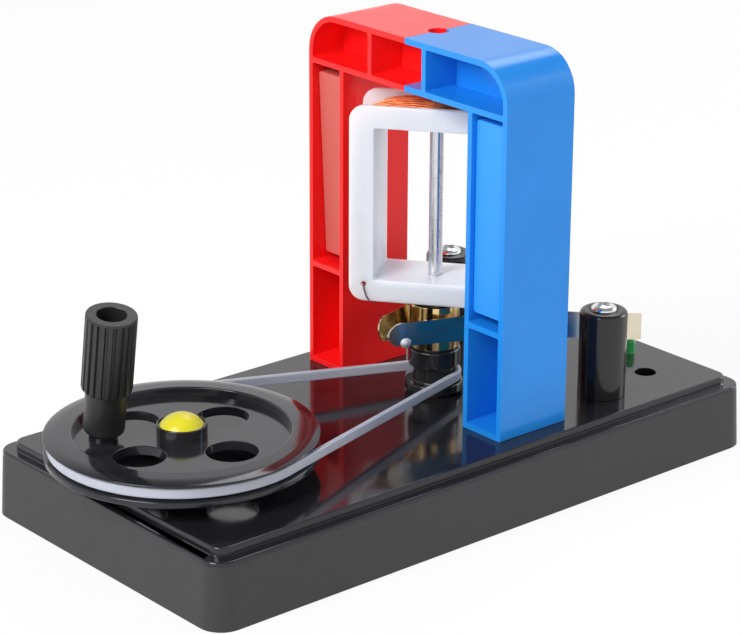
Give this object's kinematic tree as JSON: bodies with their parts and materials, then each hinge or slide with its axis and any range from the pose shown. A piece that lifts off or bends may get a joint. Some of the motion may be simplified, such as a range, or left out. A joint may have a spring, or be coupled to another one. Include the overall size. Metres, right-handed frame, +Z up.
{
  "type": "generator model",
  "caption": "Hand-cranked classroom generator: a belt-driven coil with a split ring turns between two magnets in a red and blue arch on a black base.",
  "frame": {"origin": "middle of the bounding box in plan, at the table under the base", "axes": "+X from the crank wheel to the terminal posts, +Y towards the red half of the arch, +Z up"},
  "size_m": [0.209, 0.104, 0.1295],
  "materials": {
    "base_black": "glossy moulded black",
    "wheel_black": "semi-gloss moulded black",
    "grip_black": "satin moulded black",
    "arch_red": "glossy moulded red",
    "arch_blue": "glossy moulded blue",
    "magnet_red": "matt red paint",
    "magnet_blue": "satin light blue paint",
    "bobbin_white": "moulded white",
    "copper_wire": "enamelled copper",
    "split_ring": "worn brass",
    "steel": "bright ground steel",
    "screw_plate": "bright plated",
    "spring_strip": "tinned spring bronze",
    "belt_clear": "milky translucent",
    "cap_yellow": "glossy yellow",
    "led_green": "tinted clear green",
    "led_red": "tinted clear red",
    "lead_cover": "flexible insulation"
  },
  "bodies": {
    "base": {"base_shell": "base_black", "red_arch_half": "arch_red", "blue_arch_half": "arch_blue", "north_magnet": "magnet_red", "south_magnet": "magnet_blue", "arch_screws": "screw_plate", "lower_bearing": "split_ring", "wheel_axle": "steel", "axle_nut": "screw_plate", "axle_screw": "screw_plate", "near_post": "base_black", "far_post": "base_black", "terminal_screws": "screw_plate", "post_screws": "screw_plate", "solder_lugs": "spring_strip", "near_brush": "spring_strip", "far_brush": "spring_strip", "brush_rivets": "screw_plate", "green_led": "led_green", "red_led": "led_red", "near_lead": "lead_cover", "far_lead": "lead_cover", "drive_belt": "belt_clear"},
    "wheel": {"drive_wheel": "wheel_black", "hub_cap": "cap_yellow", "crank_pin": "steel"},
    "grip": {"crank_grip": "grip_black"},
    "rotor": {"rotor_shaft": "steel", "bobbin": "bobbin_white", "winding_core": "copper_wire", "winding": "copper_wire", "coil_leads": "copper_wire", "commutator_core": "grip_black", "near_segment": "split_ring", "far_segment": "split_ring", "pulley": "wheel_black"}
  },
  "joints": [
    {"name": "crank_turn", "type": "hinge", "parent": "base", "child": "wheel", "pos_m": [-0.06685, 0, 0.03], "axis": [0, 0, 1], "continuous": true},
    {"name": "rotor_spin", "type": "hinge", "parent": "base", "child": "rotor", "pos_m": [0.02485, 0, 0.08], "axis": [0, 0, 1], "continuous": true},
    {"name": "grip_spin", "type": "hinge", "parent": "wheel", "child": "grip", "pos_m": [-0.08436, 0.01213, 0.0315], "axis": [-0.0139, -0.1696, 0.9854], "continuous": true}
  ],
  "couplings": [
    {"joint": "rotor_spin", "follows": "crank_turn", "ratio": 5}
  ]
}
